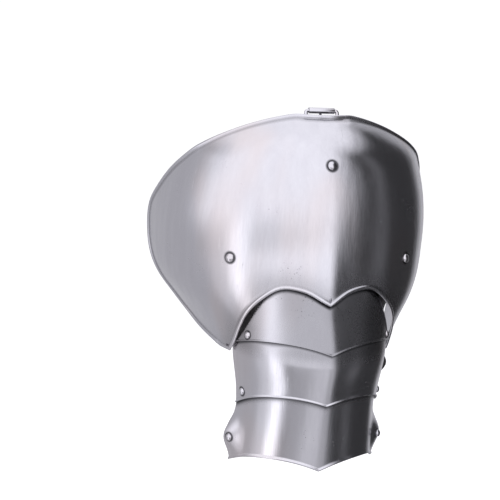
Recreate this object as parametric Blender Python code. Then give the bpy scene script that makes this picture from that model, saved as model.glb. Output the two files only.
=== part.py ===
# A steel pauldron: a domed shoulder plate over three lames hung on leathers, with a buckled collar strap.
#
# Metres, +Z up, as it is worn. X runs from the wearer's front (-X) to the back (+X), and the outer side
# of the arm faces -Y. The origin is the top rivet, where the collar strap carries the whole piece.

import math
from collections import namedtuple

import bmesh
import bpy
import numpy as np
from mathutils import Matrix, Vector

# Fits
GAP = 0.0003            # between pieces that touch
HOLE_CLEARANCE = 0.0003  # round a rivet's shank

# Upper arm
ARM_RADIUS = 0.071
ARM_AHEAD = 0.038       # how far the arm stands in front of the top rivet

# Shoulder plate
COP_STEEL = 0.0015
COP_OVERHANG = 0.064    # its half width past the arm's
COP_DROP = 0.183        # top rivet down to the tips
COP_RISE = 0.0385       # top rivet up to the top edge
COP_CENTRE_BACK = 0.160  # the sections' centre behind the top rivet
COP_SQUARENESS = 2.3    # exponent of the sections, 2 is an ellipse
KEEL_DEPTH = 0.0105
KEEL_WIDTH = 0.020
KEEL_SOFTNESS = 0.004
RIM_WIDTH = 0.0045
RIM_RISE = 0.0017

# Lames
LAME_STEEL = 0.0013
LAP_CLEARANCE = 0.0008  # between two lames where they overlap
LAMES_BELOW = 0.098     # the shoulder plate's tips down to the lowest point
TAB_FLARE = 0.0095
TAB_HEIGHT = 0.017
TAB_FROM = 62.0         # degrees round the arm, where the flare of the lower corners starts
TAB_FULL = 84.0
LIP_RISE = 0.0011
LIP_HEIGHT = 0.0036

# Leathers
LEATHER = 0.0025
LEATHER_CLEARANCE = 0.0017  # behind the curved plates
LEATHER_ANGLE = 19.0    # half width round the arm, degrees
LEATHER_AROUND = 70.0   # from the ridge, degrees
LEATHER_ON_COP = 7.5    # half width round the shoulder plate, degrees
LEATHER_TOP = 0.066     # below the top rivet
LEATHER_SHORT = 0.004   # its lower end above the lowest point
LEATHER_LEAVES_COP = 0.112
LEATHER_MEETS_LAMES = 0.144
LEATHER_SLACK = 0.0150  # how far the back leather bows out past the lames' edges
SLACK_FROM = 85.2       # degrees round the arm
SLACK_FULL = 89.5
SLACK_HEIGHT = -0.712   # of the drop
SLACK_SPREAD = 0.052

# Rivets
HEAD_RADIUS = 0.0047
HEAD_HEIGHT = 0.0024
SHANK_RADIUS = 0.0016
BURR_RADIUS = 0.0032
BURR_THICKNESS = 0.0012
BURR_CLEARANCE = 0.0010  # round a burr, in the lame that runs beneath it
LAME_RIVET_SHARE = 0.8  # size of the lames' rivets
STUD_SHARE = 0.5        # size of the studs in the hanging leathers
STUD_HEIGHT = -0.585    # of the drop
STUD_ACROSS = 0.71      # of the leather's half width

# Collar strap and its roller buckle
STRAP_WIDTH = 0.025
STRAP_CLEARANCE = 0.0021    # behind the plate at the strap's edges
STRAP_BELOW_RIVET = 0.012
STRAP_ABOVE_RIVET = 0.0275  # height of its run along the plate
STRAP_REACH = 0.0135        # from there to the buckle's bar
STRAP_LEAVES = 14.0          # degrees away from the plate
STRAP_RETURN = 0.013        # length of the end folded back
BUCKLE_WIRE = 0.0017        # radius
BUCKLE_WIDTH = 0.030        # between the centres of its sides
BUCKLE_LENGTH = 0.0165      # between the centres of its bars
BUCKLE_CORNER = 0.0022
BUCKLE_LEAN = 66.0          # above the horizontal, degrees
ROLLER_RADIUS = 0.0028
ROLLER_BORE = 0.0022
ROLLER_END_GAP = 0.0005
TONGUE_WIDTH = 0.0036
TONGUE_THICKNESS = 0.0018
SLOT_WIDTH = 0.0065
SLOT_REACH = 0.0065

# What follows from these
COP_HALF_WIDTH = ARM_RADIUS + COP_OVERHANG
ARM_BACK = ARM_RADIUS - ARM_AHEAD   # the arm's axis behind the top rivet
ARM_DROP = COP_DROP + LAMES_BELOW
LEATHER_BOTTOM = ARM_DROP - LEATHER_SHORT

# Facets
COP_COLUMNS = 34
COP_ROWS = 11
LAME_COLUMNS = 26
LEATHER_ROWS = 24
LEATHER_COLUMNS = 13
ROUND_SIDES = 12
WIRE_SIDES = 10

CopRow = namedtuple("CopRow", "height half_width ridge keel")
# height: of the rise above the top rivet or of the drop below it; ridge: of the centre's distance
COP_SECTIONS = [
    CopRow(-1.00, 0.705, -0.243, 1.00),
    CopRow(-0.91, 0.765, -0.205, 1.00),
    CopRow(-0.84, 0.830, -0.172, 1.00),
    CopRow(-0.74, 0.925, -0.133, 1.00),
    CopRow(-0.48, 1.000, -0.078, 0.60),
    CopRow(-0.16, 0.955, -0.046, 0.25),
    CopRow(-0.07, 0.918, -0.026, 0.18),
    CopRow(0.00, 0.880, 0.000, 0.12),
    CopRow(0.25, 0.822, 0.032, 0.08),
    CopRow(0.60, 0.690, 0.106, 0.04),
    CopRow(1.00, 0.500, 0.240, 0.00),
]

EdgeRow = namedtuple("EdgeRow", "share angle height")
# share along the edge from the ridge to the tip; angle round the section; height as in the sections
ARCH = [
    EdgeRow(0.00, 0.0, -0.680),
    EdgeRow(0.12, 5.5, -0.634),
    EdgeRow(0.25, 10.5, -0.616),
    EdgeRow(0.42, 16.5, -0.622),
    EdgeRow(0.58, 23.0, -0.675),
    EdgeRow(0.72, 30.5, -0.755),
    EdgeRow(0.86, 39.5, -0.865),
    EdgeRow(1.00, 50.0, -0.995),
]
OUTER_EDGE = [
    EdgeRow(0.00, 0.0, 1.000),
    EdgeRow(0.10, 22.0, 0.960),
    EdgeRow(0.20, 44.0, 0.660),
    EdgeRow(0.30, 60.0, 0.120),
    EdgeRow(0.40, 72.0, -0.110),
    EdgeRow(0.50, 80.0, -0.245),
    EdgeRow(0.62, 86.5, -0.400),
    EdgeRow(0.74, 86.5, -0.620),
    EdgeRow(0.84, 81.0, -0.800),
    EdgeRow(0.93, 71.0, -0.940),
    EdgeRow(1.00, 56.0, -1.000),
]

ArmRow = namedtuple("ArmRow", "height radius depth keel")
# height and depth of the drop and the radius below; depth is the ridge before the arm's axis
ARM_SECTIONS = [
    ArmRow(-1.00, 0.950, 0.880, 0.25),
    ArmRow(-0.77, 0.965, 0.960, 0.35),
    ArmRow(-0.63, 1.045, 1.020, 0.50),
    ArmRow(-0.54, 1.035, 0.930, 0.60),
    ArmRow(-0.46, 1.045, 0.760, 0.60),
    ArmRow(-0.40, 1.070, 0.660, 0.45),
    ArmRow(-0.36, 1.080, 0.620, 0.30),
]

LameRow = namedtuple("LameRow", "name top top_rise top_corner bottom bottom_rise bottom_corner "
                                "top_angle bottom_angle rivet_angle rivet_height")
# heights at the ridge as shares of the drop; rises and corners are shares of it too
LAMES = [
    LameRow("upper_lame", -0.400, 0.040, -0.012, -0.590, 0.026, -0.014, 44.0, 75.0, 63.5, -0.567),
    LameRow("middle_lame", -0.568, 0.036, -0.036, -0.766, 0.026, -0.058, 85.0, 79.0, 71.0, -0.772),
    LameRow("lower_lame", -0.728, 0.026, -0.064, -1.000, 0.034, -0.034, 81.0, 83.0, 77.0, -0.941),
]

EdgeShape = namedtuple("EdgeShape", "around rise")
OGEE = [
    EdgeShape(0.00, 0.00),
    EdgeShape(0.10, 0.40),
    EdgeShape(0.25, 0.80),
    EdgeShape(0.48, 1.00),
    EdgeShape(0.75, 0.72),
    EdgeShape(1.00, 0.00),
]

RimStep = namedtuple("RimStep", "inward rise")
# shares of the rim's width and rise
RIM_PROFILE = [
    RimStep(0.00, 0.35),
    RimStep(0.30, 1.00),
    RimStep(0.68, 0.85),
    RimStep(1.00, 0.00),
]

SIDES = (("front", -1), ("back", 1))
COP_RIVET_ANGLE = 36.0
COP_RIVET_HEIGHT = -0.49

STEEL_COLOUR = (0.56, 0.56, 0.60)
LEATHER_COLOUR = (0.025, 0.023, 0.024)


def clear_scene():
    for thing in list(bpy.data.objects):
        bpy.data.objects.remove(thing, do_unlink=True)


def material(name, colour, metallic, roughness):
    made = bpy.data.materials.new(name)
    made.use_nodes = True
    shader = made.node_tree.nodes["Principled BSDF"]
    shader.inputs["Base Color"].default_value = (*colour, 1.0)
    shader.inputs["Metallic"].default_value = metallic
    shader.inputs["Roughness"].default_value = roughness
    return made


def steel(name, roughness=0.32):
    return material(name, STEEL_COLOUR, 1.0, roughness)


def leather(name):
    return material(name, LEATHER_COLOUR, 0.0, 0.6)


def new_object(name, bm, look):
    mesh = bpy.data.meshes.new(name)
    bm.to_mesh(mesh)
    bm.free()
    thing = bpy.data.objects.new(name, mesh)
    bpy.context.collection.objects.link(thing)
    mesh.materials.append(look)
    mesh.shade_smooth()
    mesh.set_sharp_from_angle(angle=math.radians(40))
    return thing


def read_curve(rows, column, at):
    """A smooth curve through one column of a table, against the table's first column."""
    xs = np.array([row[0] for row in rows])
    ys = np.array([getattr(row, column) for row in rows])
    slopes = np.gradient(ys, xs)
    at = min(max(at, xs[0]), xs[-1])
    i = min(int(np.searchsorted(xs, at, side="right")) - 1, len(xs) - 2)
    span = xs[i + 1] - xs[i]
    t = (at - xs[i]) / span
    return float((2 * t**3 - 3 * t**2 + 1) * ys[i] + (t**3 - 2 * t**2 + t) * span * slopes[i]
                 + (3 * t**2 - 2 * t**3) * ys[i + 1] + (t**3 - t**2) * span * slopes[i + 1])


def smooth_step(low, high, at):
    t = min(max((at - low) / (high - low), 0.0), 1.0)
    return t * t * (3 - 2 * t)


def keel_at(x):
    return math.exp(-(math.hypot(x, KEEL_SOFTNESS) - KEEL_SOFTNESS) / KEEL_WIDTH)


# The shoulder plate's outer surface: superelliptic sections about one upright centre line

def cop_height(share):
    return share * (COP_DROP if share < 0 else COP_RISE)


def in_metres(rows):
    return [row._replace(height=cop_height(row.height)) for row in rows]


COP_LEVELS = in_metres(COP_SECTIONS)


def cop_section(z):
    """Half width, depth and keel of the plate's section at one height."""
    return (COP_HALF_WIDTH * read_curve(COP_LEVELS, "half_width", z),
            COP_CENTRE_BACK * (1 - read_curve(COP_LEVELS, "ridge", z)),
            KEEL_DEPTH * read_curve(COP_LEVELS, "keel", z))


def cop_surface(angle, z):
    half_width, depth, keel = cop_section(z)
    power = 2 / COP_SQUARENESS
    x = half_width * math.copysign(abs(math.sin(angle)) ** power, angle)
    y = COP_CENTRE_BACK - depth * max(math.cos(angle), 0.0) ** power - keel * keel_at(x)
    return Vector((x, y, z))


def cop_angle(point):
    """The angle round the section of a point that lies on the plate or close to it."""
    half_width, depth, keel = cop_section(point.z)
    across = (abs(point.x) / half_width) ** (COP_SQUARENESS / 2)
    ahead = (COP_CENTRE_BACK - point.y - keel * keel_at(point.x)) / depth
    return math.copysign(math.atan2(across, max(ahead, 0.0) ** (COP_SQUARENESS / 2)), point.x)


def arm_surface(angle, z, lift=0.0):
    """The lames' outer surface round the arm; lift moves it outwards."""
    row_at = z / ARM_DROP
    radius = ARM_RADIUS * read_curve(ARM_SECTIONS, "radius", row_at)
    depth = ARM_RADIUS * read_curve(ARM_SECTIONS, "depth", row_at)
    keel = KEEL_DEPTH * read_curve(ARM_SECTIONS, "keel", row_at)
    level = (z - LAMES[-1].rivet_height * ARM_DROP) / TAB_HEIGHT
    corner = smooth_step(math.radians(TAB_FROM), math.radians(TAB_FULL), abs(angle))
    flare = TAB_FLARE * math.exp(-level**2) * corner
    x = (radius + flare + lift) * math.sin(angle)
    y = ARM_BACK - (depth + flare + lift) * math.cos(angle) - keel * keel_at(x)
    return Vector((x, y, z))


def normal_of(surface, angle, z):
    step = 0.0005
    across = surface(angle + step * 10, z) - surface(angle - step * 10, z)
    up = surface(angle, z + step) - surface(angle, z - step)
    return across.cross(up).normalized()


# Plates

def quads(bm, grid):
    """Faces between the rows of a grid of vertices."""
    for lower, upper in zip(grid, grid[1:]):
        for a, b, c, d in zip(lower, lower[1:], upper[1:], upper):
            corners = list(dict.fromkeys((a, b, c, d)))
            if len(corners) > 2:
                bm.faces.new(corners)


def thicken(thing, thickness):
    solid = thing.modifiers.new("steel", "SOLIDIFY")
    solid.thickness = thickness
    solid.offset = -1.0
    solid.use_even_offset = True


def edge_points(table, count):
    """Angle and height of points along an edge, from the front tip to the back tip."""
    rows = in_metres(table)
    points = []
    for i in range(count + 1):
        along = 2 * i / count - 1
        angle = math.radians(read_curve(rows, "angle", abs(along)))
        points.append((math.copysign(angle, along), read_curve(rows, "height", abs(along))))
    return points


def build_cop():
    arch = edge_points(ARCH, COP_COLUMNS)
    outer = edge_points(OUTER_EDGE, COP_COLUMNS)
    # the boundary, anticlockwise seen from outside: along the arch, then back over the top
    loop = arch + outer[::-1]
    points = [cop_surface(*at) for at in loop]
    normals = [normal_of(cop_surface, *at) for at in loop]
    count = len(loop)
    inward = []
    for i in range(count):
        before = (points[i] - points[i - 1]).normalized()
        after = (points[(i + 1) % count] - points[i]).normalized()
        first = normals[i].cross(before).normalized()
        second = normals[i].cross(after).normalized()
        inward.append((first + second) / (1 + first.dot(second)))

    bm = bmesh.new()
    rings = []
    for distance, rise in RIM_PROFILE:
        ring = [bm.verts.new(points[i] + inward[i] * distance * RIM_WIDTH + normals[i] * rise * RIM_RISE)
                for i in range(count)]
        rings.append(ring)
    for outside, inside in zip(rings, rings[1:]):
        quads(bm, [outside + outside[:1], inside + inside[:1]])

    low = rings[-1][:len(arch)]
    high = rings[-1][len(arch):][::-1]
    grid = [low]
    for row in range(1, COP_ROWS):
        share = row / COP_ROWS
        line = []
        for a, b in zip(low, high):
            start_angle, end_angle = cop_angle(a.co), cop_angle(b.co)
            angle = start_angle + (end_angle - start_angle) * share
            z = a.co.z + (b.co.z - a.co.z) * share
            line.append(bm.verts.new(cop_surface(angle, z)))
        grid.append(line)
    grid.append(high)
    quads(bm, grid)
    bmesh.ops.recalc_face_normals(bm, faces=bm.faces[:])
    face_outwards(bm)
    cop = new_object("shoulder_cop", bm, steel("shoulder plate steel"))
    thicken(cop, COP_STEEL)
    return cop


def face_outwards(bm):
    """Turns an open sheet so that its faces look away from the arm."""
    bm.normal_update()
    centre = Vector((0.0, ARM_BACK * 3, 0.0))
    total = 0.0
    for face in bm.faces:
        away = face.calc_center_median() - centre
        away.z = 0.0
        total += face.normal.dot(away) * face.calc_area()
    if total < 0:
        bmesh.ops.reverse_faces(bm, faces=bm.faces[:])


def edge_height(ridge, rise, corner, around):
    return ARM_DROP * (ridge + rise * read_curve(OGEE, "rise", around) + corner * around**2)


def lame_point(lame, around, up, lip=0.0):
    """A point of a lame: around is -1 to 1 across it, up is 0 at its lower edge and 1 at its upper."""
    side = lame.bottom_angle + (lame.top_angle - lame.bottom_angle) * up
    low = edge_height(lame.bottom, lame.bottom_rise, lame.bottom_corner, abs(around))
    high = edge_height(lame.top, lame.top_rise, lame.top_corner, abs(around))
    z = low + (high - low) * up
    lift = (LAME_STEEL + LAP_CLEARANCE) * (1 - up)
    return arm_surface(math.radians(side) * around, z, lift + lip)


def build_lame(lame):
    rows = [0.0, 0.2, 0.4, 0.6, 0.8, 1.0]
    lips = {}
    if lame.name == "lower_lame":
        height = ARM_DROP * (lame.top - lame.bottom)
        rolled = LIP_HEIGHT / height
        rows = [0.0, rolled * 0.4, rolled] + [0.2, 0.35, 0.5, 0.65, 0.8, 1.0]
        lips = {0.0: LIP_RISE * 0.4, rolled * 0.4: LIP_RISE}
    bm = bmesh.new()
    grid = []
    for up in rows:
        line = [bm.verts.new(lame_point(lame, 2 * i / LAME_COLUMNS - 1, up, lips.get(up, 0.0)))
                for i in range(LAME_COLUMNS + 1)]
        grid.append(line)
    quads(bm, grid)
    bmesh.ops.recalc_face_normals(bm, faces=bm.faces[:])
    face_outwards(bm)
    plate = new_object(lame.name, bm, steel(lame.name.replace("_", " ") + " steel"))
    thicken(plate, LAME_STEEL)
    return plate


# Round pieces

def turned(name, profile, look, sides=ROUND_SIDES):
    """A solid turned about its own Z from (radius, height) pairs, from its lower end to its upper."""
    bm = bmesh.new()
    rings = []
    for radius, height in profile:
        if radius == 0:
            rings.append([bm.verts.new((0, 0, height))] * sides)
            continue
        rings.append([bm.verts.new((radius * math.cos(2 * math.pi * k / sides),
                                    radius * math.sin(2 * math.pi * k / sides), height))
                      for k in range(sides)])
    quads(bm, [ring + ring[:1] for ring in rings])
    bmesh.ops.recalc_face_normals(bm, faces=bm.faces[:])
    return new_object(name, bm, look)


def aim(thing, point, direction):
    thing.matrix_world = Matrix.Translation(point) @ direction.to_track_quat("Z", "Y").to_matrix().to_4x4()


def rivet(name, point, outward, grip, share=1.0):
    """A domed rivet whose head sits on a plate at point, with a burr the grip's depth below it."""
    head = HEAD_RADIUS * share
    height = HEAD_HEIGHT * share
    burr = BURR_RADIUS * share
    shank = SHANK_RADIUS * share
    back = -grip - GAP
    profile = [(0, back - BURR_THICKNESS), (burr, back - BURR_THICKNESS), (burr, back), (shank, back),
               (shank, GAP), (head, GAP), (head * 0.93, GAP + height * 0.42),
               (head * 0.66, GAP + height * 0.82), (head * 0.3, GAP + height * 0.98), (0, GAP + height)]
    made = turned(name, profile, steel(name.replace("_", " ") + " steel", 0.25))
    aim(made, point, outward)
    return made


def cut_away(things, cutter, label):
    cutter.hide_render = True
    cutter.display_type = "WIRE"
    for thing in things:
        cut = thing.modifiers.new(label, "BOOLEAN")
        cut.operation = "DIFFERENCE"
        cut.solver = "EXACT"
        cut.object = cutter


def cut_hole(name, things, point, outward, grip, hole=SHANK_RADIUS + HOLE_CLEARANCE):
    reach = 0.004
    radius = hole / math.cos(math.pi / ROUND_SIDES)
    profile = [(0, -grip - reach), (radius, -grip - reach), (radius, reach), (0, reach)]
    cutter = turned(name + "_hole_guide", profile, steel(name + " guide"))
    aim(cutter, point, outward)
    cut_away(things, cutter, "rivet hole")


# Leathers

def band(name, line_of, rows, columns, thickness, look):
    """A closed band of leather: line_of(across, along) gives its outer face and the way inwards."""
    bm = bmesh.new()
    outer, inner = [], []
    for row in range(rows + 1):
        outer_line, inner_line = [], []
        for column in range(columns + 1):
            point, inwards = line_of(2 * column / columns - 1, row / rows)
            outer_line.append(bm.verts.new(point))
            inner_line.append(bm.verts.new(point + inwards * thickness))
        outer.append(outer_line)
        inner.append(inner_line)
    quads(bm, outer)
    quads(bm, inner)
    for edge in ((outer[0], inner[0]), (outer[-1], inner[-1]),
                 ([line[0] for line in outer], [line[0] for line in inner]),
                 ([line[-1] for line in outer], [line[-1] for line in inner])):
        quads(bm, edge)
    bmesh.ops.recalc_face_normals(bm, faces=bm.faces[:])
    return new_object(name, bm, look)


def leather_point(side, across, z):
    """A point of a hanging leather's outer face, and the way inwards."""
    on_cop = math.radians(COP_RIVET_ANGLE) * side
    cop_at = on_cop + math.radians(LEATHER_ON_COP) * across
    cop_normal = normal_of(cop_surface, cop_at, z)
    upper = cop_surface(cop_at, z) - cop_normal * (COP_STEEL + LEATHER_CLEARANCE)
    around = math.radians(LEATHER_AROUND * side + LEATHER_ANGLE * across)
    under = LAME_STEEL + LEATHER_CLEARANCE
    slack = 0.0
    if side > 0:
        level = (z / ARM_DROP - SLACK_HEIGHT) / SLACK_SPREAD
        bulge = smooth_step(math.radians(SLACK_FROM), math.radians(SLACK_FULL), abs(around))
        slack = LEATHER_SLACK * math.exp(-level**2) * bulge
    lower = arm_surface(around, z, slack - under)
    lower_normal = normal_of(arm_surface, around, z)
    share = smooth_step(LEATHER_LEAVES_COP, LEATHER_MEETS_LAMES, -z)
    return upper.lerp(lower, share), -(cop_normal.lerp(lower_normal, share)).normalized()


def build_leather(label, side):
    def line_of(across, along):
        z = -LEATHER_TOP - (LEATHER_BOTTOM - LEATHER_TOP) * along
        return leather_point(side, across, z)

    name = f"{label}_hanging_leather"
    return band(name, line_of, LEATHER_ROWS, LEATHER_COLUMNS, LEATHER, leather(name.replace("_", " ")))


def grip_at(point, outward, side, z):
    """The depth from a plate's outer face, at a rivet, to the back of the leather behind it."""
    deepest = 0.0
    for column in range(-12, 13):
        for row in (-1, -0.5, 0, 0.5, 1):
            face, inwards = leather_point(side, column / 12, z + row * BURR_RADIUS)
            away = face + inwards * LEATHER - point
            depth = -away.dot(outward)
            if (away + outward * depth).length < BURR_RADIUS * 1.15:
                deepest = max(deepest, depth)
    return deepest


# Collar strap and buckle, laid out in the YZ plane

def offset_line(points, distance):
    """The points of a line in the YZ plane, each moved to the left of its direction."""
    moved = []
    for i, point in enumerate(points):
        before = points[max(i - 1, 0)]
        after = points[min(i + 1, len(points) - 1)]
        along = (after - before).normalized()
        moved.append(point + Vector((0, -along.z, along.y)) * distance)
    return moved


def ribbon(name, line, width, thickness, look):
    """A flat strip of one thickness that follows a line in the YZ plane."""
    bm = bmesh.new()
    rows = []
    for left, right in zip(offset_line(line, thickness / 2), offset_line(line, -thickness / 2)):
        across = Vector((width / 2, 0, 0))
        rows.append([bm.verts.new(at) for at in (left - across, left + across, right + across, right - across)])
    quads(bm, [row + row[:1] for row in rows])
    bm.faces.new(rows[0])
    bm.faces.new(rows[-1])
    bmesh.ops.recalc_face_normals(bm, faces=bm.faces[:])
    return new_object(name, bm, look)


def arc(centre, radius, start, end, steps):
    return [centre + Vector((0, math.cos(a), math.sin(a))) * radius
            for a in (math.radians(start + (end - start) * i / steps) for i in range(steps + 1))]


def strap_run():
    """The strap's middle line along the inside of the plate, and its direction at the upper end."""
    points = []
    steps = 8
    for i in range(steps + 1):
        z = -STRAP_BELOW_RIVET + (STRAP_BELOW_RIVET + STRAP_ABOVE_RIVET) * i / steps
        angle = math.asin((STRAP_WIDTH / 2 / cop_section(z)[0]) ** (COP_SQUARENESS / 2))
        inwards = -normal_of(cop_surface, angle, z)
        point = cop_surface(angle, z) + inwards * (COP_STEEL + STRAP_CLEARANCE + LEATHER / 2)
        points.append(Vector((0, point.y, point.z)))
    return points, (points[-1] - points[-2]).normalized()


def build_collar(cop):
    run, direction = strap_run()
    direction.rotate(Matrix.Rotation(math.radians(-STRAP_LEAVES), 3, "X"))
    inward = Vector((0, direction.z, -direction.y))
    loop_radius = BUCKLE_WIRE + GAP + LEATHER / 2
    bar = run[-1] + direction * STRAP_REACH + inward * loop_radius
    out_angle = math.degrees(math.atan2(-inward.z, -inward.y))
    around = arc(bar, loop_radius, out_angle, out_angle - 180, 10)
    back = [around[-1] - direction * STRAP_RETURN * share - inward * (loop_radius * 2 - LEATHER - GAP) * share**2
            for share in (0.35, 0.7, 1.0)]
    strap = ribbon("collar_strap", run + around + back, STRAP_WIDTH, LEATHER, leather("collar strap"))

    lean = math.radians(BUCKLE_LEAN)
    up = Vector((0, math.cos(lean), math.sin(lean)))
    buckle_frame(bar, up)
    roller_at = bar + up * BUCKLE_LENGTH
    length = BUCKLE_WIDTH - 2 * BUCKLE_CORNER - 2 * ROLLER_END_GAP
    bm = bmesh.new()
    rings = []
    for radius, x in ((ROLLER_BORE, -1), (ROLLER_RADIUS, -1), (ROLLER_RADIUS, 1), (ROLLER_BORE, 1)):
        rings.append([bm.verts.new((x * length / 2, radius * math.cos(2 * math.pi * k / ROUND_SIDES),
                                    radius * math.sin(2 * math.pi * k / ROUND_SIDES)))
                      for k in range(ROUND_SIDES)])
    rings.append(rings[0])
    quads(bm, [ring + ring[:1] for ring in rings])
    bmesh.ops.recalc_face_normals(bm, faces=bm.faces[:])
    roller = new_object("buckle_roller", bm, steel("buckle roller steel", 0.22))
    roller.location = roller_at

    back_of = Vector((0, up.z, -up.y))
    hook = BUCKLE_WIRE + GAP + TONGUE_THICKNESS / 2
    line = []
    for i in range(9):
        a = math.radians(300 - 210 * i / 8)
        line.append(bar + up * hook * math.cos(a) + back_of * hook * math.sin(a))
    line.append(roller_at + back_of * (ROLLER_RADIUS + GAP * 1.5 + TONGUE_THICKNESS / 2) + up * ROLLER_RADIUS)
    ribbon("buckle_tongue", line, TONGUE_WIDTH, TONGUE_THICKNESS, steel("buckle tongue steel"))

    slot = turned("tongue_slot_guide", [(0, -SLOT_WIDTH / 2), (SLOT_REACH, -SLOT_WIDTH / 2),
                                        (SLOT_REACH, SLOT_WIDTH / 2), (0, SLOT_WIDTH / 2)], steel("slot guide"))
    aim(slot, bar, Vector((1, 0, 0)))
    cut_away([strap], slot, "tongue slot")

    outward = normal_of(cop_surface, 0.0, 0.0)
    point = cop_surface(0.0, 0.0)
    grip = max(-(at - point).dot(outward) for at in offset_line(run, -LEATHER / 2)
               if abs((at - point).z) < BURR_RADIUS * 1.6)
    rivet("top_rivet", point, outward, grip)
    cut_hole("top_rivet", [cop, strap], point, outward, grip)


def buckle_frame(bar, up):
    """A rectangular ring of round wire with rounded corners, its lower bar in the strap's loop."""
    corners = ((1, 0), (1, 1), (-1, 1), (-1, 0))
    path = []
    for index, (side, end) in enumerate(corners):
        centre = Vector((side * (BUCKLE_WIDTH / 2 - BUCKLE_CORNER), 0,
                         BUCKLE_CORNER if end == 0 else BUCKLE_LENGTH - BUCKLE_CORNER))
        for step in range(4):
            a = math.radians(-90 + 90 * index + 30 * step)
            path.append((centre, a))
    across = Vector((1, 0, 0))
    back_of = Vector((0, up.z, -up.y))
    bm = bmesh.new()
    rings = []
    for centre, a in path:
        outward = across * math.cos(a) + up * math.sin(a)
        middle = bar + across * centre.x + up * centre.z + outward * BUCKLE_CORNER
        rings.append([bm.verts.new(middle + (outward * math.cos(2 * math.pi * k / WIRE_SIDES)
                                             + back_of * math.sin(2 * math.pi * k / WIRE_SIDES)) * BUCKLE_WIRE)
                      for k in range(WIRE_SIDES)])
    rings.append(rings[0])
    quads(bm, [ring + ring[:1] for ring in rings])
    bmesh.ops.recalc_face_normals(bm, faces=bm.faces[:])
    new_object("buckle_frame", bm, steel("buckle frame steel", 0.25))


def main():
    clear_scene()
    cop = build_cop()
    plates = {lame.name: build_lame(lame) for lame in LAMES}
    build_collar(cop)

    for label, side in SIDES:
        hanging = build_leather(label, side)
        angle = math.radians(COP_RIVET_ANGLE) * side
        z = cop_height(COP_RIVET_HEIGHT)
        point, outward = cop_surface(angle, z), normal_of(cop_surface, angle, z)
        grip = grip_at(point, outward, side, z)
        rivet(f"{label}_cop_rivet", point, outward, grip)
        cut_hole(f"{label}_cop_rivet", [cop, hanging], point, outward, grip)

        for lame, below in zip(LAMES, LAMES[1:] + [None]):
            angle = math.radians(lame.rivet_angle) * side
            z = lame.rivet_height * ARM_DROP
            low = edge_height(lame.bottom, lame.bottom_rise, lame.bottom_corner, 0.85)
            high = edge_height(lame.top, lame.top_rise, lame.top_corner, 0.85)
            lift = (LAME_STEEL + LAP_CLEARANCE) * (1 - (z - low) / (high - low))
            point, outward = arm_surface(angle, z, lift), normal_of(arm_surface, angle, z)
            grip = grip_at(point, outward, side, z)
            name = f"{label}_{lame.name}_rivet"
            rivet(name, point, outward, grip, LAME_RIVET_SHARE)
            hole = SHANK_RADIUS * LAME_RIVET_SHARE + HOLE_CLEARANCE
            cut_hole(name, [plates[lame.name], hanging], point, outward, grip, hole)
            if below:
                hole = BURR_RADIUS * LAME_RIVET_SHARE + BURR_CLEARANCE
                cut_hole(f"{name}_clearance", [plates[below.name]], point, outward, grip, hole)

        face, inwards = leather_point(side, STUD_ACROSS * side, STUD_HEIGHT * ARM_DROP)
        point = face - inwards * GAP
        grip = LEATHER + 2 * GAP
        rivet(f"{label}_leather_stud", point, -inwards, grip, STUD_SHARE)
        hole = SHANK_RADIUS * STUD_SHARE + HOLE_CLEARANCE
        cut_hole(f"{label}_leather_stud", [hanging], point, -inwards, grip, hole)


main()
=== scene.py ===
import bisect
import math

import bmesh
import bpy
import numpy as np
from mathutils import Matrix, Vector


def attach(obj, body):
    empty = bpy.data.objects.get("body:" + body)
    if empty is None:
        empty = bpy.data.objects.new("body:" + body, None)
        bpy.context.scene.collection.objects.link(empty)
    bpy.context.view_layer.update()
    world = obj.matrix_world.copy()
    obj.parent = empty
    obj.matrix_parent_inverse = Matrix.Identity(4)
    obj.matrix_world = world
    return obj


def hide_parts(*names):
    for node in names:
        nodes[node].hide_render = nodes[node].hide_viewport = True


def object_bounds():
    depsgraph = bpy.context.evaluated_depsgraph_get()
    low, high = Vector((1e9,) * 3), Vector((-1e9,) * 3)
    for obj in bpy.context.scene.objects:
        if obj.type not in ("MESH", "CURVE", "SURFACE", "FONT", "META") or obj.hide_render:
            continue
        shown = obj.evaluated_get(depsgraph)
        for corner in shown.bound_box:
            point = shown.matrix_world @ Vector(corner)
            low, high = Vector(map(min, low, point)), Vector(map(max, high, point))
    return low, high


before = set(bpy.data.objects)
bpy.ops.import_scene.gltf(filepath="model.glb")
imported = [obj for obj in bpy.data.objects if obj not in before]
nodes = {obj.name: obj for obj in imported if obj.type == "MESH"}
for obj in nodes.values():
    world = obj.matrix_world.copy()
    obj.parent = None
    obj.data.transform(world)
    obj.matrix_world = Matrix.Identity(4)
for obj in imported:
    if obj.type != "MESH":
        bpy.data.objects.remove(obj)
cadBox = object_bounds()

print("frame loaded:", len(nodes), "nodes")


# small tools

curves = {}


def curveOf(rows, column):
    key = (tuple(rows[0]), tuple(rows[-1]), len(rows), column)
    if key not in curves:
        xs = [row[0] for row in rows]
        ys = [row[column] for row in rows]
        curves[key] = (xs, ys, [float(slope) for slope in np.gradient(np.array(ys), np.array(xs))])
    return curves[key]


def readCurve(rows, column, at):
    # smooth curve through one column of a table, against its first column
    xs, ys, slopes = curveOf(rows, column)
    at = min(max(at, xs[0]), xs[-1])
    i = min(bisect.bisect_right(xs, at) - 1, len(xs) - 2)
    span = xs[i + 1] - xs[i]
    t = (at - xs[i]) / span
    return ((2 * t**3 - 3 * t**2 + 1) * ys[i] + (t**3 - 2 * t**2 + t) * span * slopes[i]
            + (3 * t**2 - 2 * t**3) * ys[i + 1] + (t**3 - t**2) * span * slopes[i + 1])


def smoothStep(low, high, at):
    t = min(max((at - low) / (high - low), 0.0), 1.0)
    return t * t * (3 - 2 * t)


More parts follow.
